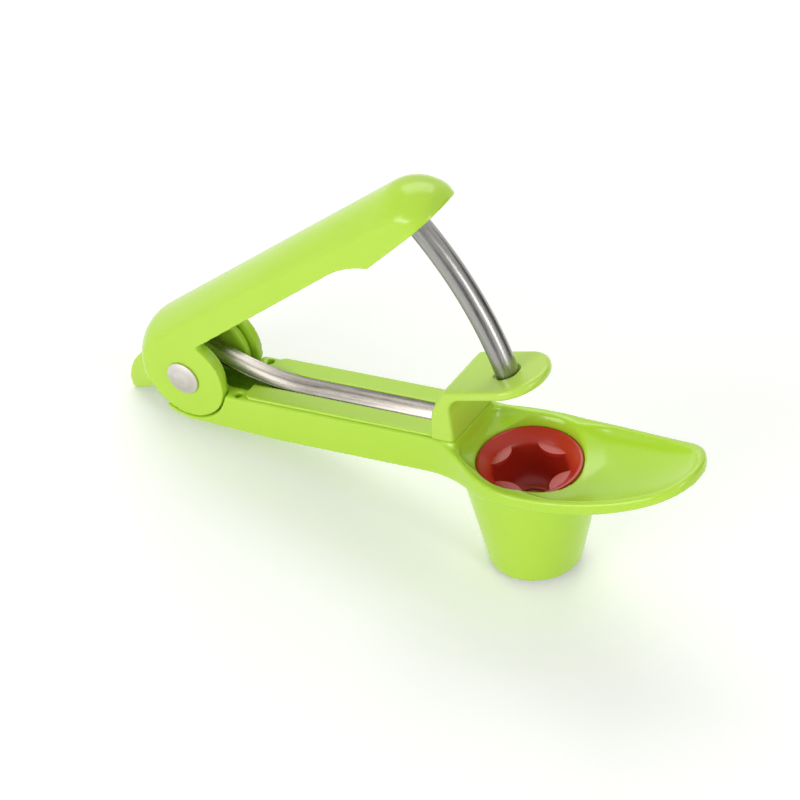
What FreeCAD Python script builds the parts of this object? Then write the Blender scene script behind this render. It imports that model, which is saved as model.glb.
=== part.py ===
"""Cherry pitter with lever.

Handle axes: the hinge axis is the Y axis, X runs forward along the handle and Z stands on its top face.
Lever axes are the same, turned about the hinge by leverOpenAngle. Cup axes stand in the middle of the
splash cup's foot, with Z up the cup. At the end everything is laid on the surface that it rests on.
"""
import FreeCAD, Part
import math
import os
import Sketcher
from FreeCAD import Placement, Rotation, Vector

# Driving dimensions, in millimetres and degrees.
SIZES = {
    # hinge
    "bodyWidth": 23.0,
    "earThickness": 2.9,
    "earRadius": 14.5,
    "earRecessGap": 0.5,
    "lipThickness": 1.4,
    "lipRear": 9.8,
    "sideGap": 0.3,
    "lugThickness": 2.8,
    "lugRadius": 12.5,
    "pinRadius": 2.5,
    "pinTailRadius": 1.8,
    "pinTailLength": 8.0,
    "pinRunningGap": 0.05,
    "pinPressGap": 0.02,
    "pinHeadRadius": 5.6,
    "pinHeadEdge": 0.5,
    "pinHeadDome": 1.0,
    "pinHeadGap": 0.15,
    "pinCapWall": 0.8,
    "pinTailGap": 0.2,
    # handle
    "rimDrop": 4.5,
    "keelDrop": 19.3,
    "keelCurve": 46.0,
    "neckStart": 84.0,
    "neckDip": 2.6,
    "keelRearX": 60.0,
    "hubDepth": 18.0,
    "troughStart": 24.0,
    "troughEnd": 86.0,
    "sideWall": 2.4,
    "floorThickness": 2.4,
    "ribThickness": 2.4,
    "dimpleRadius": 1.3,
    "dimpleDepth": 4.0,
    "dimpleInset": 2.5,
    "dimpleX": 18.3,
    # spoon bowl
    "bowlWidth": 42.0,
    "bowlWidestX": 123.0,
    "bowlTipX": 179.5,
    "neckCurve": 38.0,
    "bowlRearCurve": 38.0,
    "bowlNoseCurve": 15.0,
    "bowlBottomX": 125.0,
    "bowlTipHeight": 4.0,
    "rimLowX": 128.0,
    "rimLowDrop": 12.6,
    "rimNeckCurve": 24.0,
    "rimRearCurve": 70.0,
    "rimFrontCurve": 152.0,
    "rimThickness": 1.8,
    "rimEdge": 0.9,
    "dishThickness": 2.2,
    "dishCurve": 36.0,
    "dishBlend": 20.0,
    "dishFillet": 6.0,
    "dishRearCorner": 7.0,
    "dishFloorDrop": 0.4,
    # splash cup
    "cupTilt": 9.6,
    "cupHeight": 36.0,
    "cupBelowTangent": 31.7,
    "cupFootRadius": 14.5,
    "cupTopLong": 23.3,
    "cupTopWide": 18.8,
    "cupTopEnd": 16.0,
    "cupWall": 2.2,
    "seatDepth": 1.6,
    "flareRadius": 18.7,
    "flareHeight": 4.5,
    # cherry cup
    "lipRadius": 16.2,
    "softGap": 0.3,
    "softWall": 1.5,
    "softEdge": 0.4,
    "softRimTop": 0.7,
    "softMouthDepth": 2.5,
    "softFloor": 1.2,
    "softFloorRise": 0.4,
    "softCornerIn": 2.4,
    "softCornerUp": 1.4,
    "softCornerCurve": 3.5,
    "throatRadius": 14.9,
    "pocketDepth": 17.0,
    "pitHoleRadius": 5.6,
    "ledgeReach": 4.0,
    "ledgeSpread": 22.0,
    "ledgeDepth": 5.5,
    "ledgeThickness": 1.5,
    # rod guide
    "plateRear": 21.2,
    "plateHeight": 1.1,
    "plateInset": 0.6,
    "plateCorner": 3.0,
    "slotWidth": 7.7,
    "footRear": 91.5,
    "footFront": 99.8,
    "landDepth": 8.0,
    "guideSlope": 11.5,
    "guideTopX": 101.0,
    "guideTopZ": 14.2,
    "guideThickness": 3.3,
    "guideLength": 30.8,
    "guideInnerX": 100.7,
    "guideInnerZ": 4.5,
    "guideInnerCurve": 7.0,
    "guideRearCurve": 24.0,
    "guideRearCorner": 3.2,
    "guideRearAngle": 155.0,
    "guideFootTop": 0.5,
    "guideFootLean": 1.0,
    "guideEdge": 1.2,
    "guideHoleGap": 0.5,
    "studRadius": 2.1,
    "studLength": 4.5,
    "studGap": 0.15,
    # leaf spring
    "stripWidth": 7.5,
    "stripThickness": 0.9,
    "stripFront": 97.5,
    "stripCurl": 9.9,
    "stripBend": 10.0,
    "stripEndAngle": 100.0,
    # lever
    "leverOpenAngle": 32.0,
    "leverTop": 20.0,
    "leverCrease": 15.1,
    "leverFrontCrease": 13.0,
    "leverBend": 58.0,
    "leverNoseX": 119.4,
    "noseCornerX": 123.5,
    "noseCorner": 9.5,
    "noseCornerAngle": 20.0,
    "creaseFillet": 3.0,
    "leverTopWall": 2.6,
    "hollowTop": 14.7,
    "hollowStart": 2.2,
    "hollowBend": 8.1,
    "hollowFall": 5.1,
    "hollowEnd": 9.1,
    "crestStart": 1.2,
    "crestBend": 8.7,
    "crestFall": 5.4,
    "crestEnd": 11.2,
    "leverEdge": 6.3,
    "leverEdgeFront": 7.1,
    "leverEdgeX": 85.0,
    "leverFrontX": 96.9,
    "leverCornerX": 100.9,
    "leverCornerDrop": 4.0,
    "leverUnderSlope": 6.0,
    "shellEndAngle": 163.0,
    "stopThickness": 2.0,
    "stopBottom": 8.0,
    # rod
    "rodPath": 118.6,
    "rodRadius": 3.7,
    "rodLowAngle": 7.9,
    "rodTopAngle": 38.8,
    "rodSocketGap": 0.02,
    "rodTopGap": 0.2,
    "rodBossWall": 2.3,
    "rodBossTop": 2.5,
    "rodWeb": 1.6,
    # lock
    "lockTravel": 3.9,
    "lockHalfWidth": 5.2,
    "lockGap": 0.3,
    "barInner": 13.2,
    "barOuter": 15.8,
    "barStartAngle": 160.0,
    "barEndAngle": 168.5,
    "notchOuter": 23.0,
    "notchStart": 143.0,
    "notchEnd": 175.0,
    "tabFront": 20.9,
    "tabRear": 27.8,
    "tabTop": 0.9,
    "tabCurve": 19.0,
    "tabHeel": 9.5,
    "tabFoot": 12.0,
    "tabCorner": 1.3,
    "tabUnder": 12.1,
    "tongueBottom": 2.3,
    "scoopOut": 1.6,
    "scoopUp": 0.4,
    "scoopRadius": 6.2,
    "scoopSide": 1.3,
    "railTop": 8.2,
    "railBottom": 11.0,
    "railEnd": 2.0,
    "railLead": 1.8,
    "railKeyTop": 9.0,
    "railKeyBottom": 10.4,
    "railKeyReach": 1.0,
    # screws
    "screwRadius": 1.2,
    "screwHeadRadius": 2.3,
    "screwHeadHeight": 1.5,
    "screwHeadEdge": 0.4,
    "screwLong": 11.0,
    "screwShort": 5.2,
    "screwPoint": 1.0,
    "crossReach": 1.3,
    "crossWidth": 0.6,
    "crossDepth": 0.8,
    "screwBossWall": 1.2,
    "screwGap": 0.15,
    "screwFrontX": 94.6,
    "screwRearX": 40.0,
    "screwRearY": 6.3,
    "screwSeatDrop": 10.5,
}


class Formula:
    """A number together with the expression that works it out from the sheet."""

    def __init__(self, number, text):
        self.number = number
        self.text = text

    def joined(self, sign, other, number):
        return Formula(number, "(%s %s %s)" % (self.text, sign, other.text))

    def __add__(self, other):
        other = formula(other)
        return self.joined("+", other, self.number + other.number)

    def __sub__(self, other):
        other = formula(other)
        return self.joined("-", other, self.number - other.number)

    def __mul__(self, other):
        other = formula(other)
        return self.joined("*", other, self.number * other.number)

    def __truediv__(self, other):
        other = formula(other)
        return self.joined("/", other, self.number / other.number)

    def __neg__(self):
        return Formula(-self.number, "(0 - %s)" % self.text)

    def __radd__(self, other):
        return formula(other) + self

    def __rsub__(self, other):
        return formula(other) - self

    def __rmul__(self, other):
        return formula(other) * self


def formula(value):
    if isinstance(value, Formula):
        return value
    return Formula(float(value), repr(float(value)))


def root(value):
    return Formula(math.sqrt(value.number), "sqrt(%s)" % value.text)


def sine(angle):
    angle = formula(angle)
    return Formula(math.sin(math.radians(angle.number)), "sin(%s)" % angle.text)


def cosine(angle):
    angle = formula(angle)
    return Formula(math.cos(math.radians(angle.number)), "cos(%s)" % angle.text)


def leg(longest, other):
    """The third side of a right-angled triangle."""
    return root(longest * longest - other * other)


def polar(radius, angle):
    return (radius * cosine(angle), radius * sine(angle))


class Sheet:
    """The spreadsheet, read by name."""

    def __init__(self, document, sizes):
        cells = document.addObject("Spreadsheet::Sheet", "Sizes")
        for row, (name, value) in enumerate(sizes.items(), start=1):
            cells.set("A%d" % row, name)
            cells.set("B%d" % row, str(value))
            cells.setAlias("B%d" % row, name)
            setattr(self, name, Formula(float(value), "Sizes." + name))


doc = FreeCAD.newDocument("cherry_pitter")
size = Sheet(doc, SIZES)
doc.recompute()


# ---------------------------------------------------------------- helpers

def bind(thing, name, value):
    """Ties one property to the sheet."""
    value = formula(value)
    if "Sizes." in value.text:
        thing.setExpression(name, value.text)
    else:
        setattr(thing, name, value.number)


def newBody(name):
    body = doc.addObject("PartDesign::Body", name)
    body.Label = name
    return body


def sketchOn(body, name, role, across=0, up=0, off=0, turn=0, axis=(0, 0, 1)):
    """A sketch on one of its own body's origin planes, shifted and turned."""
    sketch = body.newObject("Sketcher::SketchObject", name)
    plane = [item for item in body.Origin.OriginFeatures if item.Role == role][0]
    sketch.AttachmentSupport = [(plane, "")]
    sketch.MapMode = "FlatFace"
    across, up, off, turn = formula(across), formula(up), formula(off), formula(turn)
    place = Vector(across.number, up.number, off.number)
    sketch.AttachmentOffset = Placement(place, Rotation(Vector(*axis), turn.number))
    for path, value in (("Base.x", across), ("Base.y", up), ("Base.z", off), ("Rotation.Angle", turn)):
        if "Sizes." in value.text:
            sketch.setExpression("AttachmentOffset." + path, value.text)
    return sketch


def hold(sketch, kind, *target):
    """Adds one dimension whose last item is a formula."""
    value = formula(target[-1])
    index = sketch.addConstraint(Sketcher.Constraint(kind, *target[:-1], value.number))
    if "Sizes." in value.text:
        sketch.setExpression("Constraints[%d]" % index, value.text)


def holdPoint(sketch, edge, end, point):
    hold(sketch, "DistanceX", -1, 1, edge, end, point[0])
    hold(sketch, "DistanceY", -1, 1, edge, end, point[1])


def arcOver(start, end, radius):
    """The short arc between two points; its centre is on the left of the way for a positive radius."""
    chord = end - start
    height = math.sqrt(max(radius ** 2 - (chord.Length / 2) ** 2, 0))
    left = Vector(-chord.y, chord.x, 0).normalize()
    centre = (start + end) * 0.5 + left * math.copysign(height, radius)
    first, last = (start, end) if radius > 0 else (end, start)
    circle = Part.Circle(centre, Vector(0, 0, 1), abs(radius))
    begin = math.atan2(first.y - centre.y, first.x - centre.x)
    finish = math.atan2(last.y - centre.y, last.x - centre.x)
    return Part.ArcOfCircle(circle, begin, finish)


def drawPath(sketch, start, steps, closed):
    """Lines and arcs from point to point: each step is (x, y), or (x, y, radius) for an arc."""
    here = (formula(start[0]), formula(start[1]))
    loose = None
    for number, step in enumerate(steps):
        there = (formula(step[0]), formula(step[1]))
        begin = Vector(here[0].number, here[1].number, 0)
        finish = Vector(there[0].number, there[1].number, 0)
        if len(step) == 3:
            radius = formula(step[2])
            edge = sketch.addGeometry(arcOver(begin, finish, radius.number))
            first, last = (1, 2) if radius.number > 0 else (2, 1)
            hold(sketch, "Radius", edge, radius if radius.number > 0 else -radius)
        else:
            edge = sketch.addGeometry(Part.LineSegment(begin, finish))
            first, last = 1, 2
        if number == 0:
            opening = (edge, first)
            holdPoint(sketch, edge, first, here)
        else:
            sketch.addConstraint(Sketcher.Constraint("Coincident", loose[0], loose[1], edge, first))
        if closed and number == len(steps) - 1:
            sketch.addConstraint(Sketcher.Constraint("Coincident", edge, last, *opening))
        else:
            holdPoint(sketch, edge, last, there)
        loose = (edge, last)
        here = there


def outline(sketch, start, *steps):
    """A closed outline; where its last step isn't an arc back to the start, a line closes it."""
    steps = list(steps)
    last = [formula(value).number for value in steps[-1][:2]]
    if last != [formula(value).number for value in start]:
        steps.append(start)
    drawPath(sketch, start, steps, True)


def twinOutline(sketch, start, *steps):
    """A closed outline from its half above the sketch's first axis, from start to the last step."""
    half = [start] + list(steps)
    after = list(steps)
    if formula(half[-1][1]).number != 0:
        after.append((half[-1][0], -formula(half[-1][1])))
    for number in range(len(half) - 1, 0, -1):
        before = half[number - 1]
        after.append((before[0], -formula(before[1])) + tuple(half[number][2:]))
    if formula(start[1]).number != 0:
        after.append(start)
    drawPath(sketch, start, after, True)


def circle(sketch, x, y, radius):
    radius = formula(radius)
    x, y = formula(x), formula(y)
    centre = Vector(x.number, y.number, 0)
    edge = sketch.addGeometry(Part.Circle(centre, Vector(0, 0, 1), radius.number))
    holdPoint(sketch, edge, 3, (x, y))
    hold(sketch, "Radius", edge, radius)


def box(sketch, left, bottom, right, top):
    outline(sketch, (left, bottom), (right, bottom), (right, top), (left, top))


def extrude(body, kind, sketch, length, both=False, reverse=False):
    """A Pad or a Pocket."""
    feature = body.newObject("PartDesign::" + kind, sketch.Name + kind)
    feature.Profile = sketch
    feature.SideType = "Symmetric" if both else "One side"
    feature.Reversed = reverse
    bind(feature, "Length", length)
    return feature


def turned(body, kind, sketch, axis, angle=360, reverse=False):
    """A Revolution or a Groove about an axis of its sketch."""
    feature = body.newObject("PartDesign::" + kind, sketch.Name + kind)
    feature.Profile = sketch
    feature.ReferenceAxis = (sketch, [axis])
    feature.Reversed = reverse
    bind(feature, "Angle", angle)
    return feature


def swept(body, kind, profile, path):
    feature = body.newObject("PartDesign::" + kind, profile.Name + kind)
    feature.Profile = profile
    feature.Spine = path
    return feature


def lofted(body, kind, sections):
    feature = body.newObject("PartDesign::" + kind, sections[0].Name + kind)
    feature.Profile = sections[0]
    feature.Sections = sections[1:]
    return feature


def combine(body, kind, tool):
    feature = body.newObject("PartDesign::Boolean", tool.Name + kind)
    feature.Type = kind
    feature.Group = [tool]
    return feature


def normalsBeside(shape, edge):
    """The ways that the faces on both sides of an edge look."""
    middle = edge.CenterOfMass
    return [face.normalAt(*face.Surface.parameter(middle)) for face in shape.ancestorsOfType(edge, Part.Face)]


def foldAt(shape, edge):
    """The angle that the surface turns through at an edge."""
    normals = normalsBeside(shape, edge)
    if len(normals) != 2:
        return 0.0
    return math.degrees(normals[0].getAngle(normals[1]))


def isUpright(normal):
    return abs(normal.z) < 0.05


def footOfWall(shape, edge):
    """Tells whether an edge lies between an upright wall and a floor."""
    return sorted(isUpright(normal) for normal in normalsBeside(shape, edge)) == [False, True]


def rounded(body, name, radius, picked):
    """A fillet on those edges of the newest feature that the test picks."""
    doc.recompute()
    base = body.Tip
    shape = base.Shape
    edges = ["Edge%d" % number for number, edge in enumerate(shape.Edges, start=1) if picked(shape, edge)]
    feature = body.newObject("PartDesign::Fillet", name)
    feature.Base = (base, edges)
    bind(feature, "Radius", radius)
    return feature


# ---------------------------------------------------------------- shared places

HALF = size.bodyWidth / 2
EAR_INNER = HALF - size.earThickness
LUG_OUTER = EAR_INNER - size.sideGap
LUG_INNER = LUG_OUTER - size.lugThickness
RECESS = size.earRadius + size.earRecessGap
LIP_OUTER = RECESS + size.lipThickness

# Lengths of the tools that cut: below the lowest point, past a face, past everything, and into a join.
DEEP = 40.0
CLEAR = 5.0
BEYOND = 100.0
OVERLAP = 1.0

cupSine = sine(size.cupTilt)
cupCosine = cosine(size.cupTilt)
CUP_X = size.rodPath * cupCosine - size.cupBelowTangent * cupSine
CUP_Z = -(size.rodPath * cupSine) - size.cupBelowTangent * cupCosine

KEY_HALF = size.lockHalfWidth + size.railKeyReach
GROOVE_HALF = KEY_HALF + size.lockGap
SCREW_PLACES = (
    ("front", size.screwFrontX, formula(0), size.screwLong),
    ("near", size.screwRearX, -size.screwRearY, size.screwShort),
    ("far", size.screwRearX, size.screwRearY, size.screwShort),
)


def cupPoint(across, up):
    """A place in the cup's axes, as handle X and Z."""
    return (CUP_X + across * cupCosine + up * cupSine, CUP_Z - across * cupSine + up * cupCosine)


# ---------------------------------------------------------------- lower body

BOWL_HALF = size.bowlWidth / 2
FRONT_RUN = size.bowlTipX - size.bowlNoseCurve - size.bowlWidestX
FRONT_CURVE = (FRONT_RUN * FRONT_RUN / (BOWL_HALF - size.bowlNoseCurve) + size.bowlNoseCurve + BOWL_HALF) / 2
TIP_Z = size.rimFrontCurve - size.rimLowDrop - leg(size.rimFrontCurve, size.bowlTipX - size.rimLowX)
KEEL_LOW = -size.keelDrop - size.neckDip
KEEL_RISE = TIP_Z - size.bowlTipHeight - KEEL_LOW
KEEL_RUN = size.bowlTipX - size.bowlBottomX
BOWL_KEEL = (KEEL_RUN * KEEL_RUN + KEEL_RISE * KEEL_RISE) / (KEEL_RISE * 2)


def spoonPlan(inset):
    """Half of the outline seen from above, from the neck to the tip, inset from the outer edge."""
    middle = BOWL_HALF - size.bowlRearCurve
    span = leg(size.neckCurve + size.bowlRearCurve, HALF + size.neckCurve - middle)
    neckX = size.bowlWidestX - span
    share = size.neckCurve / (size.neckCurve + size.bowlRearCurve)
    joinX = neckX + span * share
    joinY = HALF + size.neckCurve - (HALF + size.neckCurve - middle) * share
    slant = span / (size.neckCurve + size.bowlRearCurve)
    rise = (HALF + size.neckCurve - middle) / (size.neckCurve + size.bowlRearCurve)
    frontMiddle = BOWL_HALF - FRONT_CURVE
    noseX = size.bowlTipX - size.bowlNoseCurve
    reach = FRONT_CURVE / (FRONT_CURVE - size.bowlNoseCurve)
    tangentX = size.bowlWidestX + (noseX - size.bowlWidestX) * reach
    tangentY = frontMiddle - frontMiddle * reach
    awayX = (noseX - size.bowlWidestX) / (FRONT_CURVE - size.bowlNoseCurve)
    awayY = -frontMiddle / (FRONT_CURVE - size.bowlNoseCurve)
    return [
        (neckX, HALF - inset),
        (joinX + slant * inset, joinY - rise * inset, size.neckCurve + inset),
        (size.bowlWidestX, BOWL_HALF - inset, -(size.bowlRearCurve - inset)),
        (tangentX - awayX * inset, tangentY - awayY * inset, -(FRONT_CURVE - inset)),
        (noseX + size.bowlNoseCurve - inset, formula(0), -(size.bowlNoseCurve - inset)),
    ]


def rimLine():
    """The top edge seen from the side: handle rim, dip over the neck, long rise to the tip."""
    neckZ = -size.rimDrop - size.rimNeckCurve
    rearZ = size.rimRearCurve - size.rimLowDrop
    neckX = size.rimLowX - leg(size.rimNeckCurve + size.rimRearCurve, rearZ - neckZ)
    share = size.rimNeckCurve / (size.rimNeckCurve + size.rimRearCurve)
    joinX = neckX + (size.rimLowX - neckX) * share
    joinZ = neckZ + (rearZ - neckZ) * share
    endX = size.bowlTipX + CLEAR
    endZ = size.rimFrontCurve - size.rimLowDrop - leg(size.rimFrontCurve, endX - size.rimLowX)
    return [
        (neckX, -size.rimDrop),
        (joinX, joinZ, -size.rimNeckCurve),
        (size.rimLowX, -size.rimLowDrop, size.rimRearCurve),
        (endX, endZ, size.rimFrontCurve),
    ]


def cupForm():
    """The splash cup's outer form, round at its foot and a four-arc oval under the bowl."""
    body = newBody("cup_form")
    long, wide, end = size.cupTopLong, size.cupTopWide, size.cupTopEnd
    side = ((long - end) * (long - end) + wide * wide - end * end) / ((wide - end) * 2)
    joinX = (long - end) * side / (side - end)
    joinY = wide - side + (side - wide) * side / (side - end)
    share = size.cupFootRadius / root(joinX * joinX + joinY * joinY)
    foot = sketchOn(body, "cupFoot", "XY_Plane", across=CUP_X, off=CUP_Z, turn=size.cupTilt, axis=(0, 1, 0))
    radius = size.cupFootRadius
    twinOutline(foot, (radius, 0), (joinX * share, joinY * share, radius),
                (-joinX * share, joinY * share, radius), (-radius, 0, radius))
    topX, topZ = cupPoint(formula(0), size.cupHeight)
    top = sketchOn(body, "cupTop", "XY_Plane", across=topX, off=topZ, turn=size.cupTilt, axis=(0, 1, 0))
    twinOutline(top, (long, 0), (joinX, joinY, end), (-joinX, joinY, side), (-long, 0, end))
    lofted(body, "AdditiveLoft", [foot, top])
    return body


def dishTool():
    """The air inside the spoon bowl."""
    body = newBody("dish_space")
    plan = sketchOn(body, "dishPlan", "XY_Plane", off=-DEEP)
    edge = spoonPlan(size.rimThickness)
    start = size.footFront
    curveY = HALF + size.neckCurve
    startY = curveY - leg(size.neckCurve + size.rimThickness, start - edge[0][0])
    twinOutline(plan, (start, startY), *edge[1:])
    extrude(body, "Pad", plan, DEEP + CLEAR)
    path = sketchOn(body, "dishFloor", "XZ_Plane")
    floorUp = size.cupHeight - size.dishFloorDrop
    pathX, pathZ = cupPoint(-(size.cupTopLong + CLEAR), floorUp)
    centreX = size.bowlBottomX
    centreZ = BOWL_KEEL + KEEL_LOW
    inner = BOWL_KEEL - size.dishThickness
    originX, originZ = cupPoint(formula(0), floorUp)
    along = (centreX - originX) * cupCosine - (centreZ - originZ) * cupSine
    above = (centreX - originX) * cupSine + (centreZ - originZ) * cupCosine
    reach = along + leg(inner - size.dishBlend, size.dishBlend - above)
    firstX, firstZ = cupPoint(reach, floorUp)
    blendX, blendZ = cupPoint(reach, floorUp + size.dishBlend)
    share = inner / (inner - size.dishBlend)
    secondX = centreX + (blendX - centreX) * share
    secondZ = centreZ + (blendZ - centreZ) * share
    endX = size.bowlTipX + CLEAR
    endZ = centreZ - leg(inner, endX - centreX)
    steps = [(firstX, firstZ), (secondX, secondZ, size.dishBlend), (endX, endZ, inner)]
    drawPath(path, (pathX, pathZ), steps, False)
    section = sketchOn(body, "dishSection", "YZ_Plane", up=pathZ, off=pathX)
    arcUnder(section, size.dishCurve)
    swept(body, "SubtractivePipe", section, path)
    doc.recompute()
    rear = SIZES["footFront"]
    rounded(body, "dishCorners", size.dishRearCorner, lambda shape, edge: edge.BoundBox.YLength < 0.01
            and edge.BoundBox.XLength < 0.01 and abs(edge.CenterOfMass.x - rear) < 0.01)
    rounded(body, "dishFillet", size.dishFillet, lambda shape, edge: footOfWall(shape, edge)
            and edge.CenterOfMass.z < shape.BoundBox.ZMax - OVERLAP)
    return body


def arcUnder(section, radius):
    """Everything under a wide arc whose lowest point is the sketch's origin."""
    wide = BOWL_HALF + CLEAR
    rise = radius - leg(radius, wide)
    outline(section, (-wide, -BEYOND), (wide, -BEYOND), (wide, rise), (0, 0, -radius), (-wide, rise, -radius))


def outerRim(shape, edge):
    """Tells whether an edge runs round the outside of the bowl's rim."""
    middle = edge.CenterOfMass
    normals = normalsBeside(shape, edge)
    level = [normal for normal in normals if normal.z > 0.75]
    upright = [normal for normal in normals if isUpright(normal)]
    if not level or not upright or foldAt(shape, edge) < 50:
        return False
    outward = upright[0].y * middle.y > 0 and abs(middle.y) > OVERLAP
    return outward and middle.x > SIZES["neckStart"] and middle.z > -(SIZES["rimLowDrop"] + OVERLAP)


def lowerBody():
    body = newBody("lower_body")
    plan = sketchOn(body, "plan", "XY_Plane", off=-DEEP)
    twinOutline(plan, (-LIP_OUTER, HALF), *spoonPlan(formula(0)))
    extrude(body, "Pad", plan, DEEP)

    above = sketchOn(body, "aboveRim", "XZ_Plane")
    rim = rimLine()
    end = rim[-1]
    outline(above, (-DEEP, -size.rimDrop), *rim, (end[0], DEEP), (-DEEP, DEEP))
    extrude(body, "Pocket", above, BEYOND, both=True)

    recess = sketchOn(body, "earRecess", "XZ_Plane")
    circle(recess, 0, 0, RECESS)
    extrude(body, "Pocket", recess, BEYOND, both=True)
    block = sketchOn(body, "hubBlock", "XZ_Plane")
    box(block, -LIP_OUTER, -size.hubDepth, RECESS + OVERLAP, -size.rimDrop)
    extrude(body, "Pad", block, LUG_OUTER * 2, both=True)

    rear = sketchOn(body, "behind", "XZ_Plane")
    lipZ = -leg(LIP_OUTER, size.lipRear)
    outline(rear, (-BEYOND, DEEP), (-BEYOND, -BEYOND), (size.keelRearX, -BEYOND),
            (size.keelRearX, -size.keelDrop), (0, -LIP_OUTER),
            (-size.lipRear, lipZ, -LIP_OUTER), (-size.lipRear, DEEP))
    extrude(body, "Pocket", rear, BEYOND, both=True)

    keel = sketchOn(body, "keelPath", "XZ_Plane")
    halfDip = size.neckDip / 2
    reach = (size.bowlBottomX - size.neckStart) / 2
    bend = (reach * reach + halfDip * halfDip) / size.neckDip
    startX = -size.lugRadius * 2
    endX = size.bowlTipX + CLEAR
    endZ = KEEL_LOW + BOWL_KEEL - leg(BOWL_KEEL, endX - size.bowlBottomX)
    drawPath(keel, (startX, -size.keelDrop), [
        (size.neckStart, -size.keelDrop),
        (size.neckStart + reach, -size.keelDrop - halfDip, -bend),
        (size.bowlBottomX, KEEL_LOW, bend),
        (endX, endZ, BOWL_KEEL)], False)
    section = sketchOn(body, "keelSection", "YZ_Plane", up=-size.keelDrop, off=startX)
    arcUnder(section, size.keelCurve)
    swept(body, "SubtractivePipe", section, keel)
    rounded(body, "rimRound", size.rimEdge, outerRim)

    lugs = sketchOn(body, "lugs", "XZ_Plane")
    circle(lugs, 0, 0, size.lugRadius)
    extrude(body, "Pad", lugs, LUG_OUTER * 2, both=True)

    combine(body, "Fuse", cupForm())
    combine(body, "Cut", dishTool())

    seat = size.cupHeight - size.seatDepth
    bore = sketchOn(body, "cupBore", "XZ_Plane", across=CUP_X, up=CUP_Z, turn=-size.cupTilt)
    boreRadius = size.cupFootRadius - size.cupWall
    seatRadius = size.lipRadius + size.softGap
    flareTop = size.cupHeight + size.flareHeight
    flare = size.flareRadius - seatRadius
    flareCurve = (flare * flare + size.flareHeight * size.flareHeight) / (flare * 2)
    outline(bore, (0, -CLEAR), (boreRadius, -CLEAR), (boreRadius, 0),
            (size.throatRadius, seat), (seatRadius, seat), (seatRadius, size.cupHeight),
            (size.flareRadius, flareTop, -flareCurve), (size.flareRadius, flareTop + OVERLAP),
            (0, flareTop + OVERLAP))
    turned(body, "Groove", bore, "V_Axis")

    land = sketchOn(body, "footLand", "XY_Plane", off=-size.rimDrop)
    box(land, size.footRear - OVERLAP, -HALF, size.footFront, HALF)
    extrude(body, "Pad", land, size.landDepth, reverse=True)

    trough = sketchOn(body, "trough", "XY_Plane", off=DEEP)
    troughHalf = HALF - size.sideWall
    troughFloor = -size.keelDrop + size.floorThickness
    box(trough, size.troughStart, -troughHalf, size.troughEnd, troughHalf)
    extrude(body, "Pocket", trough, DEEP - troughFloor)
    rib = sketchOn(body, "middleRib", "XY_Plane", off=-size.keelDrop + OVERLAP)
    ribHalf = size.ribThickness / 2
    box(rib, size.troughStart - OVERLAP, -ribHalf, size.troughEnd + OVERLAP, ribHalf)
    extrude(body, "Pad", rib, size.keelDrop - OVERLAP - size.rimDrop)

    channel = sketchOn(body, "lockChannel", "XY_Plane", off=DEEP)
    box(channel, -DEEP, -LUG_INNER, size.troughStart, LUG_INNER)
    extrude(body, "Pocket", channel, DEEP + size.railBottom + size.lockGap)
    groove = sketchOn(body, "railGrooves", "XY_Plane", off=-size.railKeyTop + size.lockGap)
    box(groove, -DEEP, -GROOVE_HALF, size.railEnd + size.lockTravel + OVERLAP, GROOVE_HALF)
    extrude(body, "Pocket", groove, size.railKeyBottom - size.railKeyTop + size.lockGap * 2)

    hole = sketchOn(body, "hingeHole", "XZ_Plane")
    circle(hole, 0, 0, size.pinRadius + size.pinPressGap)
    extrude(body, "Pocket", hole, size.bodyWidth, both=True)

    for name, side in (("nearDimple", -1), ("farDimple", 1)):
        dimple = sketchOn(body, name, "XY_Plane", off=-size.rimDrop)
        circle(dimple, size.dimpleX, side * (HALF - size.dimpleInset), size.dimpleRadius)
        extrude(body, "Pocket", dimple, size.dimpleDepth)

    bossFoot = size.keelDrop - size.floorThickness + OVERLAP / 2
    for name, x, y, length in SCREW_PLACES:
        if name != "front":
            boss = sketchOn(body, name + "Boss", "XY_Plane", off=-bossFoot)
            circle(boss, x, y, size.screwHeadRadius + size.screwBossWall)
            extrude(body, "Pad", boss, bossFoot - size.rimDrop)
            socket = sketchOn(body, name + "Socket", "XY_Plane", off=-size.rimDrop)
            circle(socket, x, y, size.studRadius + size.studGap)
            extrude(body, "Pocket", socket, size.studLength + size.studGap)
        shank = sketchOn(body, name + "Shank", "XY_Plane", off=DEEP)
        circle(shank, x, y, size.screwRadius + size.screwGap)
        extrude(body, "Pocket", shank, BEYOND)
        well = sketchOn(body, name + "Well", "XY_Plane", off=-size.screwSeatDrop)
        circle(well, x, y, size.screwHeadRadius + size.screwGap * 2)
        extrude(body, "Pocket", well, BEYOND)
    return body


# ---------------------------------------------------------------- the other pieces

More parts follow.
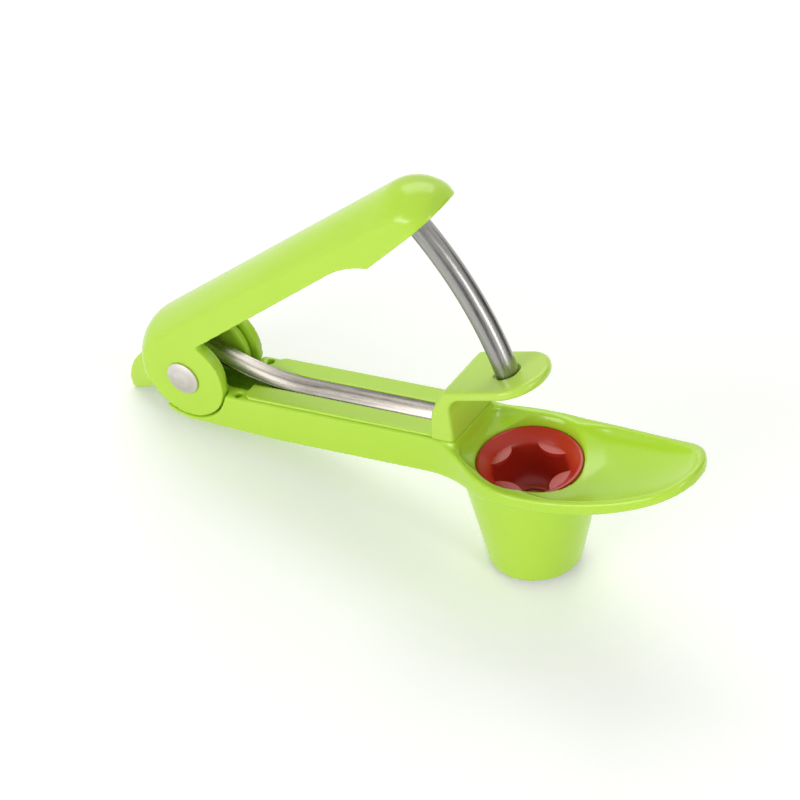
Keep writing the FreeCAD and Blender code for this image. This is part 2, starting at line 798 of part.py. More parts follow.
def rodGuide():
    """Slotted tail plate, upright foot and round-nosed plate in one piece."""
    body = newBody("rod_guide")
    plate = sketchOn(body, "tailPlate", "XY_Plane", off=-size.rimDrop)
    plateHalf = HALF - size.plateInset
    slotHalf = size.slotWidth / 2
    corner = size.plateCorner
    front = size.footRear + OVERLAP
    inside = (size.footRear + size.footFront) / 2
    outline(plate, (size.plateRear, slotHalf), (front, slotHalf), (front, -slotHalf),
            (size.plateRear, -slotHalf), (size.plateRear, -plateHalf + corner),
            (size.plateRear + corner, -plateHalf, corner), (inside, -plateHalf),
            (inside, plateHalf), (size.plateRear + corner, plateHalf),
            (size.plateRear, plateHalf - corner, corner))
    extrude(body, "Pad", plate, size.plateHeight)

    side = sketchOn(body, "guideSide", "XZ_Plane")
    slopeX, slopeZ = cosine(size.guideSlope), sine(size.guideSlope)
    tipX = size.guideTopX + size.guideLength * slopeX
    tipZ = size.guideTopZ + size.guideLength * slopeZ
    underX = size.guideThickness * slopeZ
    underZ = size.guideThickness * slopeX
    innerTopX = size.guideInnerX + size.guideInnerCurve * 0.6
    innerTopZ = size.guideTopZ + (innerTopX - size.guideTopX) * slopeZ / slopeX - size.guideThickness / slopeX
    cornerX = size.guideTopX + size.guideRearCorner * slopeZ
    cornerZ = size.guideTopZ - size.guideRearCorner * slopeX
    backX, backZ = polar(size.guideRearCorner, size.guideRearAngle)
    outline(side, (size.footRear, -size.rimDrop), (size.footFront, -size.rimDrop),
            (size.guideInnerX, size.guideInnerZ), (innerTopX, innerTopZ, -size.guideInnerCurve),
            (tipX + underX, tipZ - underZ), (tipX, tipZ), (size.guideTopX, size.guideTopZ),
            (cornerX + backX, cornerZ + backZ, size.guideRearCorner),
            (size.footRear + size.guideFootLean, size.guideFootTop, size.guideRearCurve))
    extrude(body, "Pad", side, size.bodyWidth, both=True)

    nose = sketchOn(body, "guideNose", "XY_Plane", off=DEEP)
    noseX = size.guideTopX + size.guideLength * slopeX - HALF
    away = noseX + size.bodyWidth
    outline(nose, (noseX, HALF), (noseX + HALF, 0, -HALF), (noseX, -HALF, -HALF), (noseX, -size.bodyWidth),
            (away, -size.bodyWidth), (away, size.bodyWidth), (noseX, size.bodyWidth))
    extrude(body, "Pocket", nose, DEEP * 2)
    rounded(body, "guideRound", size.guideEdge, lambda shape, edge: foldAt(shape, edge) > 40
            and edge.CenterOfMass.x > SIZES["footRear"] + 0.1 and edge.CenterOfMass.z > -3)

    bed = sketchOn(body, "stripBed", "XY_Plane", off=-size.rimDrop)
    box(bed, size.footRear - OVERLAP, -slotHalf, size.stripFront + size.lockGap, slotHalf)
    extrude(body, "Pocket", bed, size.stripThickness + size.screwGap, reverse=True)

    hole = sketchOn(body, "rodHole", "XY_Plane")
    circle(hole, size.rodPath, 0, size.rodRadius + size.guideHoleGap)
    feature = turned(body, "Groove", hole, "V_Axis", size.rodTopAngle)
    feature.Midplane = True

    for name, x, y, length in SCREW_PLACES:
        if name != "front":
            stud = sketchOn(body, name + "Stud", "XY_Plane", off=-size.rimDrop)
            circle(stud, x, y, size.studRadius)
            extrude(body, "Pad", stud, size.studLength, reverse=True)
        pilot = sketchOn(body, name + "Pilot", "XY_Plane", off=-size.screwSeatDrop)
        circle(pilot, x, y, size.screwRadius)
        extrude(body, "Pocket", pilot, length + size.screwGap * 2, reverse=True)
    return body


def leafSpring():
    body = newBody("leaf_spring")
    middleZ = -size.rimDrop + size.stripThickness / 2
    path = sketchOn(body, "stripPath", "XZ_Plane")
    bendZ = middleZ + size.stripBend
    bendX = leg(size.stripCurl + size.stripBend, bendZ)
    share = size.stripCurl / (size.stripCurl + size.stripBend)
    endX, endZ = polar(size.stripCurl, size.stripEndAngle)
    drawPath(path, (size.stripFront, middleZ), [
        (bendX, middleZ),
        (bendX * share, bendZ * share, -size.stripBend),
        (endX, endZ, size.stripCurl)], False)
    section = sketchOn(body, "stripSection", "YZ_Plane", up=middleZ, off=size.stripFront)
    wide, thick = size.stripWidth / 2, size.stripThickness / 2
    box(section, -wide, -thick, wide, thick)
    swept(body, "AdditivePipe", section, path)
    hole = sketchOn(body, "stripHole", "XY_Plane", off=DEEP)
    circle(hole, size.screwFrontX, 0, size.screwRadius + size.screwGap * 2)
    extrude(body, "Pocket", hole, BEYOND)
    return body


def cherryCup():
    body = newBody("cherry_cup")
    seat = size.cupHeight - size.seatDepth
    foot = size.cupHeight - size.pocketDepth
    bottomBore = size.cupFootRadius - size.cupWall
    lowOuter = bottomBore + (size.throatRadius - bottomBore) * foot / seat - size.softGap
    highOuter = size.throatRadius - size.softGap
    wall = size.softWall
    floor = foot + size.softFloor
    edge = size.softEdge
    shape = sketchOn(body, "softCup", "XZ_Plane")
    outline(shape, (size.pitHoleRadius, foot), (lowOuter, foot), (highOuter, seat), (size.lipRadius, seat),
            (size.lipRadius, size.cupHeight - edge), (size.lipRadius - edge, size.cupHeight),
            (size.lipRadius - edge - size.softRimTop, size.cupHeight),
            (highOuter - wall, seat - size.softMouthDepth),
            (lowOuter - wall, floor + size.softFloorRise + size.softCornerUp),
            (lowOuter - wall - size.softCornerIn, floor + size.softFloorRise, -size.softCornerCurve),
            (size.pitHoleRadius, floor))
    turned(body, "Revolution", shape, "V_Axis")
    ledgeFoot = size.cupHeight - size.ledgeDepth - size.ledgeThickness
    ledgeOuter = lowOuter + (highOuter - lowOuter) * (ledgeFoot - foot) / (seat - foot) - wall / 2
    tip = ledgeOuter * cosine(size.ledgeSpread)
    side = ledgeOuter * sine(size.ledgeSpread)
    inner = ledgeOuter - size.ledgeReach
    bulge = (side * side + (tip - inner) * (tip - inner)) / ((tip - inner) * 2)
    ledge = sketchOn(body, "ledge", "XY_Plane", off=ledgeFoot)
    outline(ledge, (tip, -side), (ledgeOuter, 0, ledgeOuter), (tip, side, ledgeOuter),
            (inner, 0, bulge), (tip, -side, bulge))
    flap = extrude(body, "Pad", ledge, size.ledgeThickness)
    doc.recompute()
    ring = body.newObject("PartDesign::PolarPattern", "ledgeRing")
    ring.Originals = [flap]
    ring.Axis = (ledge, ["N_Axis"])
    ring.Angle = 360
    ring.Occurrences = 4
    body.Tip = ring
    return body


CORNER_Z = size.leverEdgeFront - size.leverCornerDrop
UNDER_RISE = sine(size.leverUnderSlope) / cosine(size.leverUnderSlope)
NOSE_AXIS_Z = CORNER_Z + (size.leverNoseX - size.leverCornerX) * UNDER_RISE


def crownCut(body, name, x, crease, base):
    """Everything outside the crowned top, as a section of the lever."""
    rise = size.leverTop - crease
    radius = (HALF * HALF + rise * rise) / (rise * 2)
    wide = HALF + CLEAR
    top = size.leverTop + CLEAR - base
    sketch = sketchOn(body, "crown" + name, "YZ_Plane", up=base, off=x)
    outline(sketch, (HALF, crease - base), (-HALF, crease - base, radius), (-wide, crease - base),
            (-wide, top), (wide, top), (wide, crease - base))
    return sketch


def ringPiece(sketch, inner, outer, start, end):
    first, second = polar(inner, start), polar(outer, start)
    third, fourth = polar(outer, end), polar(inner, end)
    outline(sketch, second, third + (outer,), fourth, first + (-inner,))


def sideCrease(shape, edge):
    """Tells whether an edge runs along the fold between the crowned top and a side."""
    side = SIZES["bodyWidth"] / 2
    straight = edge.BoundBox.YLength < 0.02 and abs(abs(edge.CenterOfMass.y) - side) < 0.02
    return straight and 15 < foldAt(shape, edge) < 70


def upperLever():
    body = newBody("upper_lever")
    run = size.leverCornerX - size.leverEdgeX
    curve = (run * run + size.leverCornerDrop * size.leverCornerDrop) / (size.leverCornerDrop * 2)
    noseRadius = size.leverTop - NOSE_AXIS_Z
    lipX, lipZ = polar(noseRadius, size.leverUnderSlope)
    side = sketchOn(body, "leverSide", "XZ_Plane")
    outline(side, (0, size.leverEdge), (size.leverEdgeX, size.leverEdgeFront),
            (size.leverCornerX, CORNER_Z, -curve),
            (size.leverNoseX + lipX, NOSE_AXIS_Z + lipZ), (size.leverNoseX, size.leverTop, noseRadius),
            (0, size.leverTop), polar(size.leverTop, size.shellEndAngle) + (size.leverTop,),
            polar(size.pinHeadRadius, size.shellEndAngle))
    extrude(body, "Pad", side, size.bodyWidth, both=True)
    ears = sketchOn(body, "ears", "XZ_Plane")
    circle(ears, 0, 0, size.earRadius)
    extrude(body, "Pad", ears, size.bodyWidth, both=True)

    zero = formula(0)
    sections = [crownCut(body, "Rear", zero, size.leverCrease, zero),
                crownCut(body, "Bend", size.leverBend, size.leverCrease, zero),
                crownCut(body, "Corner", size.leverFrontX, size.leverFrontCrease, zero),
                crownCut(body, "Front", size.leverNoseX, size.leverFrontCrease, zero)]
    lofted(body, "SubtractiveLoft", sections).Ruled = True
    roll = crownCut(body, "Roll", zero, size.leverCrease, zero)
    turned(body, "Groove", roll, "H_Axis", size.shellEndAngle - 90 + CLEAR, reverse=True)
    nose = crownCut(body, "Nose", size.leverNoseX, size.leverFrontCrease, NOSE_AXIS_Z)
    turned(body, "Groove", nose, "H_Axis", 90)

    plan = sketchOn(body, "nosePlan", "XY_Plane", off=-DEEP)
    cornerY = HALF - size.noseCorner
    turnX, turnY = polar(size.noseCorner, size.noseCornerAngle)
    frontRadius = (cornerY + turnY) / sine(size.noseCornerAngle)
    frontX = size.noseCornerX + turnX
    tipX = frontX - frontRadius * cosine(size.noseCornerAngle) + frontRadius
    away = tipX + CLEAR * 2
    beside = HALF + CLEAR
    outline(plan, (size.noseCornerX, HALF), (frontX, cornerY + turnY, -size.noseCorner), (tipX, 0, -frontRadius),
            (frontX, -(cornerY + turnY), -frontRadius), (size.noseCornerX, -HALF, -size.noseCorner),
            (size.noseCornerX, -beside), (away, -beside), (away, beside), (size.noseCornerX, beside))
    extrude(body, "Pocket", plan, BEYOND, reverse=True)
    rounded(body, "creaseRound", size.creaseFillet, sideCrease)

    low = size.hollowTop
    hollow = sketchOn(body, "hollow", "XZ_Plane")
    outline(hollow, (-low, 0), (0, low, -low), (size.leverNoseX + size.hollowStart, low),
            (size.leverNoseX + size.hollowBend, low - size.hollowFall),
            (size.leverNoseX + size.hollowEnd, -DEEP), (-low, -DEEP))
    extrude(body, "Pocket", hollow, EAR_INNER * 2, both=True)
    high = size.leverTop - size.leverTopWall
    crest = sketchOn(body, "hollowCrest", "XZ_Plane")
    outline(crest, (-high, 0), (0, high, -high), (size.leverNoseX + size.crestStart, high),
            (size.leverNoseX + size.crestBend, high - size.crestFall),
            (size.leverNoseX + size.crestEnd, -DEEP), (-high, -DEEP))
    extrude(body, "Pocket", crest, (LUG_INNER - size.lockGap) * 2, both=True)

    notch = sketchOn(body, "lockNotch", "XZ_Plane")
    ringPiece(notch, size.barOuter + size.pinRunningGap * 2, size.notchOuter, size.notchStart, size.notchEnd)
    extrude(body, "Pocket", notch, (size.lockHalfWidth + size.lockGap) * 2, both=True)
    bar = sketchOn(body, "lockBar", "XZ_Plane")
    ringPiece(bar, size.barInner, size.barOuter, size.barStartAngle, size.barEndAngle)
    extrude(body, "Pad", bar, EAR_INNER * 2 + OVERLAP, both=True)

    stop = sketchOn(body, "springStop", "XZ_Plane")
    stripEnd = size.stripEndAngle - size.leverOpenAngle
    stopX = (size.stripCurl - size.stripThickness / 2) * cosine(stripEnd) - size.lockGap
    box(stop, stopX - size.stopThickness, size.stopBottom, stopX, high + OVERLAP)
    extrude(body, "Pad", stop, LUG_INNER * 2 - OVERLAP, both=True)

    boss = sketchOn(body, "rodBoss", "XZ_Plane")
    reach = size.rodRadius + size.rodBossWall
    box(boss, size.rodPath - reach, NOSE_AXIS_Z + OVERLAP, size.rodPath + reach, size.leverTop - size.rodBossTop)
    extrude(body, "Pad", boss, reach * 2, both=True)
    web = sketchOn(body, "bossWeb", "XZ_Plane")
    webHalf = size.rodWeb / 2
    box(web, size.rodPath - webHalf, NOSE_AXIS_Z + OVERLAP * 2, size.rodPath + webHalf, size.leverFrontCrease)
    extrude(body, "Pad", web, EAR_INNER * 2 + OVERLAP, both=True)
    socket = sketchOn(body, "rodSocket", "XY_Plane")
    circle(socket, size.rodPath, 0, size.rodRadius + size.rodSocketGap)
    arcAbout(body, "Groove", socket, size.leverOpenAngle - size.rodLowAngle,
             size.rodTopAngle - size.leverOpenAngle + size.rodTopGap)

    hole = sketchOn(body, "earHole", "XZ_Plane")
    circle(hole, 0, 0, size.pinRadius + size.pinRunningGap)
    extrude(body, "Pocket", hole, size.bodyWidth * 2, both=True)
    return body


def arcAbout(body, kind, sketch, below, above):
    """Turns a sketch on the XY plane about the hinge axis, below and above that plane."""
    feature = turned(body, kind, sketch, "V_Axis")
    feature.Type = "TwoAngles"
    bind(feature, "Angle", below)
    bind(feature, "Angle2", above)
    return feature


def pittingRod():
    body = newBody("pitting_rod")
    section = sketchOn(body, "rodSection", "XY_Plane")
    circle(section, size.rodPath, 0, size.rodRadius)
    arcAbout(body, "Revolution", section, size.leverOpenAngle - size.rodLowAngle,
             size.rodTopAngle - size.leverOpenAngle)
    return body


HEAD_FACE = HALF + size.pinHeadGap
HEAD_EDGE = HEAD_FACE + size.pinHeadEdge
HEAD_CROWN = HEAD_EDGE + size.pinHeadDome
HEAD_CURVE = (size.pinHeadRadius * size.pinHeadRadius / size.pinHeadDome + size.pinHeadDome) / 2
PIN_STEP = HALF - size.pinTailLength
TAIL_SPACE = HALF - size.pinCapWall


def hingePin():
    body = newBody("hinge_pin")
    shape = sketchOn(body, "pinShape", "XY_Plane")
    tailEnd = TAIL_SPACE - size.pinTailGap
    outline(shape, (0, -HEAD_CROWN), (size.pinHeadRadius, -HEAD_EDGE, HEAD_CURVE), (size.pinHeadRadius, -HEAD_FACE),
            (size.pinRadius, -HEAD_FACE), (size.pinRadius, PIN_STEP), (size.pinTailRadius, PIN_STEP),
            (size.pinTailRadius, tailEnd), (0, tailEnd))
    turned(body, "Revolution", shape, "V_Axis")
    return body


def hingePinCap():
    body = newBody("hinge_pin_cap")
    shape = sketchOn(body, "capShape", "XY_Plane")
    tailHole = size.pinTailRadius + size.pinPressGap
    outline(shape, (0, TAIL_SPACE), (tailHole, TAIL_SPACE), (tailHole, PIN_STEP),
            (size.pinRadius, PIN_STEP), (size.pinRadius, HEAD_FACE), (size.pinHeadRadius, HEAD_FACE),
            (size.pinHeadRadius, HEAD_EDGE), (0, HEAD_CROWN, HEAD_CURVE))
    turned(body, "Revolution", shape, "V_Axis")
    return body


def lockSlider():
    """Thumb tab, tongue and rail."""
    body = newBody("lock_slider")
    side = sketchOn(body, "tabSide", "XZ_Plane")
    tongueTip = size.tabFront - size.lockTravel
    rear = size.tabRear
    outline(side, (-tongueTip, -size.tongueBottom), (-tongueTip, size.tabTop), (-size.tabFront, size.tabTop),
            (-rear, -size.tabHeel, size.tabCurve), (-rear, -size.tabFoot),
            (-(rear - size.tabCorner), -(size.tabFoot + size.tabCorner), size.tabCorner),
            (-size.tabFront, -size.tabUnder), (-(size.tabFront - size.railLead), -size.railBottom),
            (-size.railEnd, -size.railBottom), (-size.railEnd, -size.railTop),
            (-size.tabFront, -size.railTop), (-size.tabFront, -size.tongueBottom))
    extrude(body, "Pad", side, size.lockHalfWidth * 2, both=True)
    scoop = sketchOn(body, "thumbScoop", "XZ_Plane")
    circle(scoop, -(rear + size.scoopOut), size.scoopUp, size.scoopRadius)
    extrude(body, "Pocket", scoop, (size.lockHalfWidth - size.scoopSide) * 2, both=True)
    key = sketchOn(body, "railKeys", "XY_Plane", off=-size.railKeyBottom)
    box(key, -(size.lipRear - OVERLAP), -KEY_HALF, -size.railEnd, KEY_HALF)
    extrude(body, "Pad", key, size.railKeyBottom - size.railKeyTop)
    return body


def guideScrew(name, length):
    body = newBody("guide_screw_" + name)
    shape = sketchOn(body, "screwShape", "XZ_Plane")
    seat = -size.screwSeatDrop
    crown = seat - size.screwHeadHeight
    tip = seat + length
    head = size.screwHeadRadius
    outline(shape, (0, crown), (head - size.screwHeadEdge, crown), (head, crown + size.screwHeadEdge),
            (head, seat), (size.screwRadius, seat), (size.screwRadius, tip - size.screwPoint), (0, tip))
    turned(body, "Revolution", shape, "V_Axis")
    for turn in (0, 90):
        cross = sketchOn(body, "cross%d" % turn, "XY_Plane", off=crown, turn=turn)
        box(cross, -size.crossReach, -size.crossWidth / 2, size.crossReach, size.crossWidth / 2)
        extrude(body, "Pocket", cross, size.crossDepth, reverse=True)
    return body


# ---------------------------------------------------------------- assembly

tabCorner = Vector(SIZES["tabCorner"] - SIZES["tabRear"], 0, -SIZES["tabFoot"] - SIZES["tabCorner"])
footX, footZ = cupPoint(-size.cupFootRadius, formula(0))
lean = math.degrees(math.atan2(tabCorner.z - footZ.number, footX.number - tabCorner.x))
resting = Placement(Vector(), Rotation(Vector(0, 1, 0), -lean))
leverPlace = resting * Placement(Vector(), Rotation(Vector(0, 1, 0), -SIZES["leverOpenAngle"]))
cupPlace = resting * Placement(Vector(CUP_X.number, 0, CUP_Z.number), Rotation(Vector(0, 1, 0), SIZES["cupTilt"]))

placed = [
    (lowerBody(), resting),
    (rodGuide(), resting),
    (cherryCup(), cupPlace),
    (leafSpring(), resting),
    (hingePin(), resting),
    (hingePinCap(), resting),
    (lockSlider(), resting),
    (upperLever(), leverPlace),
    (pittingRod(), leverPlace),
]
for name, x, y, length in SCREW_PLACES:
    place = Placement(Vector(x.number, y.number, 0), Rotation())
    placed.append((guideScrew(name, length), resting * place))

doc.recompute()
faults = [item.Name for item in doc.Objects if "Invalid" in item.State or "Error" in item.State]
for part, place in placed:
    if part.Shape.isNull() or not part.Shape.isValid() or len(part.Shape.Solids) != 1:
        faults.append(part.Label)
if faults:
    raise SystemExit("not built: " + ", ".join(faults))

whole = Part.makeCompound([part.Shape.transformed(place.toMatrix()) for part, place in placed])
bounds = whole.optimalBoundingBox(False)
shift = Vector(-(bounds.XMin + bounds.XMax) / 2, 0, -bounds.ZMin)
for part, place in placed:
    part.Placement = Placement(shift, Rotation()) * place

os.makedirs("parts", exist_ok=True)
for part, place in placed:
    part.Shape.exportStep("parts/%s.step" % part.Label)
    print(part.Label, round(part.Shape.Volume), "mm3")
print("lean", round(lean, 2), "shift", shift, "size", bounds.XLength, bounds.YLength, bounds.ZLength)
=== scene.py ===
import math
import bmesh
import bpy
from mathutils import Matrix, Vector


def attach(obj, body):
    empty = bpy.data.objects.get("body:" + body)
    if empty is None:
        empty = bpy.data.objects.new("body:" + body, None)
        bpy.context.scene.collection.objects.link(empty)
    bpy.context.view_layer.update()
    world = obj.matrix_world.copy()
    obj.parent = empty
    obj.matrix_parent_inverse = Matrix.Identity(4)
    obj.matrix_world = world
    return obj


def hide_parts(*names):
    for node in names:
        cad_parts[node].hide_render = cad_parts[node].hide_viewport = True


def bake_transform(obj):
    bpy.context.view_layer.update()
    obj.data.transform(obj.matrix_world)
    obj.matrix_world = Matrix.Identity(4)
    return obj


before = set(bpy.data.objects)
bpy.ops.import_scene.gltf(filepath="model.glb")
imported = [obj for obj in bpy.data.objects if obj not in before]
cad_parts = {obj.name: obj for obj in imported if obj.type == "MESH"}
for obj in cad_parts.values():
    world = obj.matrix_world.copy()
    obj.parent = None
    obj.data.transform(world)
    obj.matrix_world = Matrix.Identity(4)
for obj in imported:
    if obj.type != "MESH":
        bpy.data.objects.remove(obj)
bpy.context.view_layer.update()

bpy.context.scene.view_settings.view_transform = "Standard"

# where the hinge axis lies, how far the handle leans, and how far the rod and the pin's marks lie from it
place = {"hinge": (-0.0752850, 0.0, 0.0201067), "lean": 15.92, "rodPath": 0.1186, "pinPath": 0.004}
camera = {
    "right": (0.8277, 0.5227, -0.2040),
    "up": (-0.1638, 0.5729, 0.8031),
    "back": (0.5367, -0.6313, 0.5598),
    "spot": (0.9105, -0.9610, 0.8521),
    "lens": 227.4, "shiftX": -0.0662, "shiftY": 0.0075, "reach": 20.0,
}
studio = {
    "world": 0.49,    # the light that the sky gives; seen or mirrored it is plain white
    "floorSide": 6.0, "floorDrop": 0.0004, "floorColour": (0.90, 0.90, 0.89),
    "floorGlow": 0.20, "floorRoughness": 0.60,
    "lamps": [
        # name, spot, aim, width, height, watts
        ("backSoftbox", (-0.50, 0.62, 0.95), (0.0, 0.0, 0.05), 1.1, 0.7, 6.6),
        ("frontFill", (-0.35, -1.15, 0.36), (0.0, 0.0, 0.05), 0.8, 0.6, 7.4),
        ("rightStrip", (0.86, -0.20, 0.34), (0.02, 0.0, 0.08), 0.20, 0.5, 2.0),
    ],
    # dark cards that only mirrored rays meet
    "cards": [
        # name, spot, aim, width, height
        ("frontCard", (0.155, -0.225, 0.085), (0.02, 0.0, 0.085), 0.115, 0.17),
        ("rearCard", (0.240, 0.215, 0.110), (0.02, 0.0, 0.110), 0.23, 0.22),
    ],
    "cardColour": (0.03, 0.03, 0.03), "cardRoughness": 0.9,
}

lean = Matrix.Rotation(-math.radians(place["lean"]), 4, "Y")
toolAxes = Matrix.Translation(place["hinge"]) @ lean    # at the hinge axis, X along the handle


def aimCamera():
    data = bpy.data.cameras.new("studioCamera")
    item = bpy.data.objects.new("studioCamera", data)
    bpy.context.collection.objects.link(item)
    columns = [Vector(camera[key]) for key in ("right", "up", "back")]
    turn = Matrix(columns).transposed().to_4x4()
    item.matrix_world = toolAxes @ Matrix.Translation(camera["spot"]) @ turn
    data.lens = camera["lens"]
    data.shift_x = camera["shiftX"]
    data.shift_y = camera["shiftY"]
    data.clip_end = camera["reach"]
    bpy.context.scene.camera = item


# 1 for rays from the camera, a mirror or glass, else 0
def seenRays(nodes, links):
    path = nodes.new("ShaderNodeLightPath")
    last = path.outputs["Is Camera Ray"]
    for name in ("Is Glossy Ray", "Is Transmission Ray"):
        either = nodes.new("ShaderNodeMath")
        either.operation = "MAXIMUM"
        links.new(last, either.inputs[0])
        links.new(path.outputs[name], either.inputs[1])
        last = either.outputs[0]
    return last


# the place of a lamp or card that stands at a spot and faces the aim
def facing(spot, aim):
    away = Vector(spot) - Vector(aim)
    return Matrix.Translation(spot) @ away.to_track_quat("Z", "Y").to_matrix().to_4x4()


def lightStudio():
    for name, spot, aim, width, height, watts in studio["lamps"]:
        data = bpy.data.lights.new(name, "AREA")
        data.shape = "RECTANGLE"
        data.size = width
        data.size_y = height
        data.energy = watts
        item = bpy.data.objects.new(name, data)
        bpy.context.collection.objects.link(item)
        item.matrix_world = facing(spot, aim)
    world = bpy.data.worlds.new("studioWorld")
    bpy.context.scene.world = world
    world.use_nodes = True
    nodes, links = world.node_tree.nodes, world.node_tree.links
    nodes.clear()
    strength = nodes.new("ShaderNodeMix")
    strength.inputs["A"].default_value = studio["world"]
    strength.inputs["B"].default_value = 1.0
    links.new(seenRays(nodes, links), strength.inputs["Factor"])
    back = nodes.new("ShaderNodeBackground")
    back.inputs["Color"].default_value = (1, 1, 1, 1)
    links.new(strength.outputs["Result"], back.inputs["Strength"])
    out = nodes.new("ShaderNodeOutputWorld")
    links.new(back.outputs[0], out.inputs[0])


def standCards():
    material = bpy.data.materials.new("darkCard")
    material.use_nodes = True
    shader = material.node_tree.nodes["Principled BSDF"]
    shader.inputs["Base Color"].default_value = (*studio["cardColour"], 1)
    shader.inputs["Roughness"].default_value = studio["cardRoughness"]
    for name, spot, aim, width, height in studio["cards"]:
        bpy.ops.mesh.primitive_plane_add(size=1)
        card = bpy.context.object
        card.name = name
        card.matrix_world = facing(spot, aim) @ Matrix.Diagonal((width, height, 1, 1))
        card.data.materials.append(material)
        card.visible_camera = False
        card.visible_diffuse = False
        card.visible_shadow = False


def layFloor():
    bpy.ops.mesh.primitive_plane_add(size=studio["floorSide"], location=(0, 0, -studio["floorDrop"]))
    floor = bpy.context.object
    floor.name = "studioFloor"
    material = bpy.data.materials.new("paleFloor")
    material.use_nodes = True
    nodes, links = material.node_tree.nodes, material.node_tree.links
    shader = nodes["Principled BSDF"]
    shader.inputs["Base Color"].default_value = (*studio["floorColour"], 1)
    shader.inputs["Roughness"].default_value = studio["floorRoughness"]
    shader.inputs["Specular IOR Level"].default_value = 0.0    # matt, so that the cards don't show in it
    glow = nodes.new("ShaderNodeEmission")
    level = nodes.new("ShaderNodeMath")
    level.operation = "MULTIPLY"
    level.inputs[1].default_value = studio["floorGlow"]
    links.new(seenRays(nodes, links), level.inputs[0])
    links.new(level.outputs[0], glow.inputs["Strength"])
    both = nodes.new("ShaderNodeAddShader")
    links.new(shader.outputs[0], both.inputs[0])
    links.new(glow.outputs[0], both.inputs[1])
    links.new(both.outputs[0], nodes["Material Output"].inputs["Surface"])
    floor.data.materials.append(material)


aimCamera()
lightStudio()
standCards()
layFloor()
print("studio ready")


leafSpring = {
    "front": 0.0975, "bend": 0.040, "middle": -0.00405,    # its flat run along the handle, and its height
    "width": 0.0075, "thickness": 0.0009, "edge": 0.00018, "edgeSegments": 3,
    "curves": ((0.074, 28.7, 28), (0.0255, 17.6, 12)),    # radius, turn, steps: the long rise, then the curl
    "endGap": 0.0001,    # edges this near to the strip's end are picked for the spin
    "blendStart": 0.020,    # where along the handle the strip was to start following the lever
}
cherryCup = {
    "foot": (0.11165, 0.0, -0.05104), "tilt": 9.6, "height": 0.036, "depth": 0.017,
    "lip": 0.0162, "lipDepth": 0.0016, "wallHigh": 0.0146, "wallLow": 0.01344,
    "mouth": 0.0153, "hole": 0.0056, "holeGap": 0.00002, "floor": 0.0010,
    "wallPower": 3, "wallRoot": 0.6,    # the powers of the inside's curve
    "flare": 0.0037, "flareDepth": 0.0038, "flarePower": 1.3, "rings": 26, "sides": 128,
    "ledges": 4, "ledgeTurn": -5.0, "ledgeTop": 0.0028, "ledgeDeep": 0.0014, "ledgeSides": 96,
    "ledgeRadius": 0.0070, "ledgeOut": 0.0156, "ledgeReach": 0.0127,
    "soft": 0.0004, "softSegments": 4, "softAngle": 40.0,
}
mergeGap = 0.00001
smoothAngle = 35.0


def deselect():
    bpy.ops.object.select_all(action="DESELECT")


# selects the edges or points of the piece in edit mode whose corners all pass a test of their place
def pick(kind, wanted):
    mesh = bmesh.from_edit_mesh(bpy.context.object.data)
    bpy.ops.mesh.select_all(action="DESELECT")
    for part in mesh.edges if kind == "edges" else mesh.verts:
        corners = part.verts if kind == "edges" else [part]
        part.select_set(all(wanted(corner.co) for corner in corners))
    mesh.select_flush(True)
    bmesh.update_edit_mesh(bpy.context.object.data)


def applyModifier(item, kind, **values):
    modifier = item.modifiers.new(kind.lower(), kind)
    for key, value in values.items():
        setattr(modifier, key, value)
    bpy.context.view_layer.objects.active = item
    bpy.ops.object.modifier_apply(modifier=modifier.name)


# puts a finished piece in its place and leaves its object at the origin
def settle(item, axes):
    item.matrix_world = axes @ item.matrix_world
    deselect()
    item.select_set(True)
    bpy.context.view_layer.objects.active = item
    bpy.ops.object.transform_apply(location=True, rotation=True, scale=True)
    bpy.ops.object.shade_smooth_by_angle(angle=math.radians(smoothAngle))


# a flat strip spun up at its rear in one long curve and a short one under the lever
def makeLeafSpring():
    value = leafSpring
    deselect()
    middle = (value["front"] + value["bend"]) / 2
    bpy.ops.mesh.primitive_plane_add(size=1, location=(middle, 0, value["middle"]))
    spring = bpy.context.object
    spring.name = "leafSpring"
    spring.scale = (value["front"] - value["bend"], value["width"], 1)
    bpy.ops.object.transform_apply(location=True, rotation=True, scale=True)
    bpy.ops.object.mode_set(mode="EDIT")
    endX, endZ, slope = value["bend"], value["middle"], 0.0
    for radius, turn, steps in value["curves"]:
        pick("edges", lambda spot: spot.x < endX + value["endGap"])
        centreX = endX + radius * math.sin(slope)
        centreZ = endZ + radius * math.cos(slope)
        bpy.ops.mesh.spin(steps=steps, angle=math.radians(turn), center=(centreX, 0, centreZ),
                          axis=(0, -1, 0))
        slope += math.radians(turn)
        endX = centreX - radius * math.sin(slope)
        endZ = centreZ - radius * math.cos(slope)
    bpy.ops.mesh.select_all(action="SELECT")
    bpy.ops.mesh.remove_doubles(threshold=mergeGap)
    bpy.ops.mesh.normals_make_consistent(inside=False)
    bpy.ops.object.mode_set(mode="OBJECT")
    applyModifier(spring, "SOLIDIFY", thickness=value["thickness"], offset=0.0)
    applyModifier(spring, "BEVEL", width=value["edge"], segments=value["edgeSegments"],
                  limit_method="ANGLE")
    settle(spring, toolAxes)
    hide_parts("leaf_spring")
    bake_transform(spring)
    return spring


